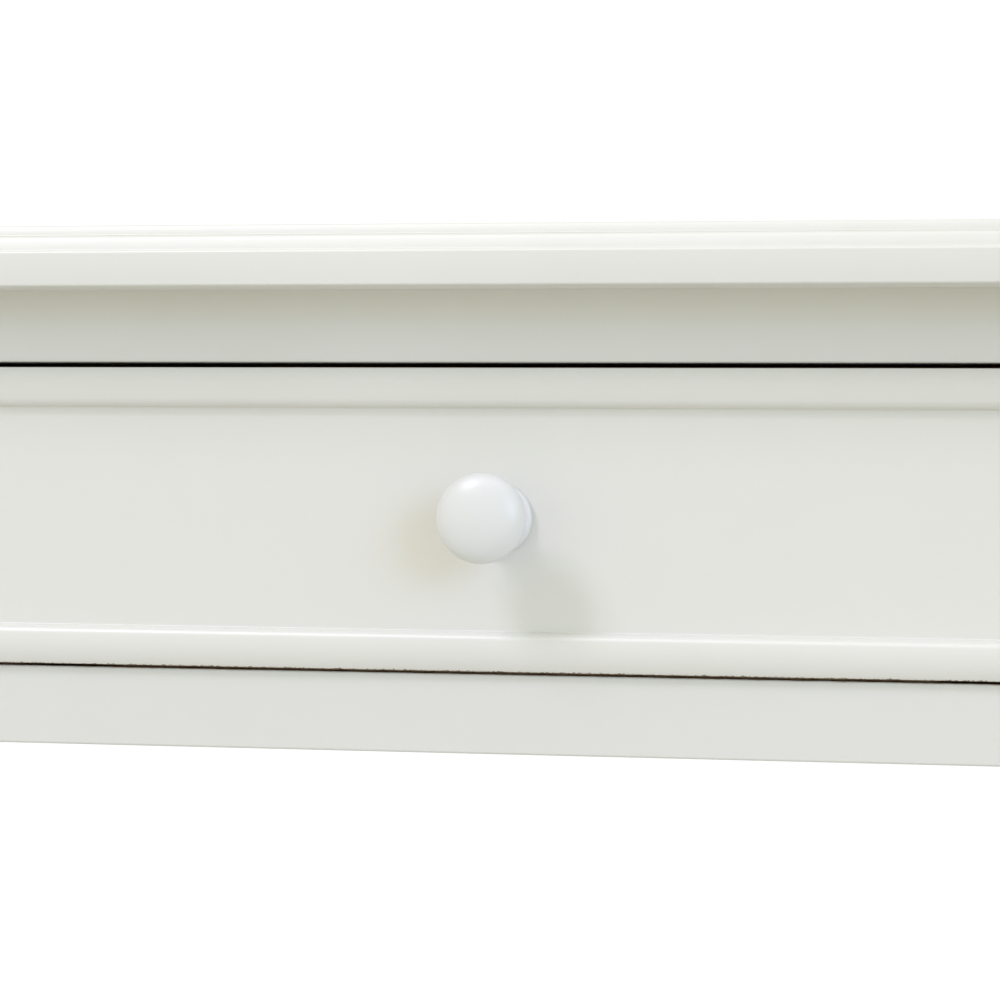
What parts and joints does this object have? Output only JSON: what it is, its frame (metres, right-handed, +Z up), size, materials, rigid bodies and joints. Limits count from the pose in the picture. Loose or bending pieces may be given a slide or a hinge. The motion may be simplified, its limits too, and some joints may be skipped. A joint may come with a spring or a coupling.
{
  "type": "writing desk with drawers",
  "caption": "Painted wooden writing desk with square tapered legs, inset drawers edged with a bead, round turned knobs and a stepped moulding round the tabletop's edge.",
  "frame": {"origin": "on the floor, under the middle of the tabletop", "axes": "+X to the right as seen from the front, +Y from the front towards the back, +Z up"},
  "size_m": [1.2, 0.56, 0.78],
  "materials": {
    "satin_paint": "satin off-white paint",
    "knob_paint": "satin white paint",
    "raw_wood": "bare planed wood",
    "plywood": "bare sanded plywood",
    "screw_steel": "plain",
    "glide_nylon": "matte"
  },
  "bodies": {
    "frame": {"apron_back": "satin_paint", "apron_left": "satin_paint", "apron_right": "satin_paint", "centre_stile": "satin_paint", "drawer_in_stops": "raw_wood", "foot_glides": "glide_nylon", "guide_centre": "raw_wood", "guide_left": "raw_wood", "guide_right": "raw_wood", "kicker_centre": "raw_wood", "kicker_left": "raw_wood", "kicker_right": "raw_wood", "leg_back_left": "satin_paint", "leg_back_right": "satin_paint", "leg_front_left": "satin_paint", "leg_front_right": "satin_paint", "rail_lower": "satin_paint", "rail_upper": "satin_paint", "runner_centre": "raw_wood", "runner_left": "raw_wood", "runner_right": "raw_wood", "tabletop": "satin_paint", "tabletop_clip_screws": "screw_steel", "tabletop_clips": "raw_wood", "tabletop_screws": "screw_steel"},
    "drawer_left": {"drawer_left_back": "raw_wood", "drawer_left_bead_bottom": "satin_paint", "drawer_left_bead_left": "satin_paint", "drawer_left_bead_right": "satin_paint", "drawer_left_bead_top": "satin_paint", "drawer_left_bottom": "plywood", "drawer_left_bottom_screws": "screw_steel", "drawer_left_front": "satin_paint", "drawer_left_knob": "knob_paint", "drawer_left_knob_screw": "screw_steel", "drawer_left_side_left": "raw_wood", "drawer_left_side_right": "raw_wood", "drawer_left_turn_button_screw": "screw_steel"},
    "drawer_right": {"drawer_right_back": "raw_wood", "drawer_right_bead_bottom": "satin_paint", "drawer_right_bead_left": "satin_paint", "drawer_right_bead_right": "satin_paint", "drawer_right_bead_top": "satin_paint", "drawer_right_bottom": "plywood", "drawer_right_bottom_screws": "screw_steel", "drawer_right_front": "satin_paint", "drawer_right_knob": "knob_paint", "drawer_right_knob_screw": "screw_steel", "drawer_right_side_left": "raw_wood", "drawer_right_side_right": "raw_wood", "drawer_right_turn_button_screw": "screw_steel"},
    "turn_button_left": {"drawer_left_turn_button": "raw_wood"},
    "turn_button_right": {"drawer_right_turn_button": "raw_wood"}
  },
  "joints": [
    {"name": "drawer_left_slide", "type": "slide", "parent": "frame", "child": "drawer_left", "axis": [0, -1, 0], "range_m": [0, 0.381]},
    {"name": "drawer_right_slide", "type": "slide", "parent": "frame", "child": "drawer_right", "axis": [0, -1, 0], "range_m": [0, 0.381]},
    {"name": "turn_button_left_pivot", "type": "hinge", "parent": "drawer_left", "child": "turn_button_left", "pos_m": [-0.2725, 0.1837, 0.7036], "axis": [0, 1, 0], "range_deg": [-90, 90]},
    {"name": "turn_button_right_pivot", "type": "hinge", "parent": "drawer_right", "child": "turn_button_right", "pos_m": [0.2725, 0.1837, 0.7036], "axis": [0, 1, 0], "range_deg": [-90, 90]}
  ]
}
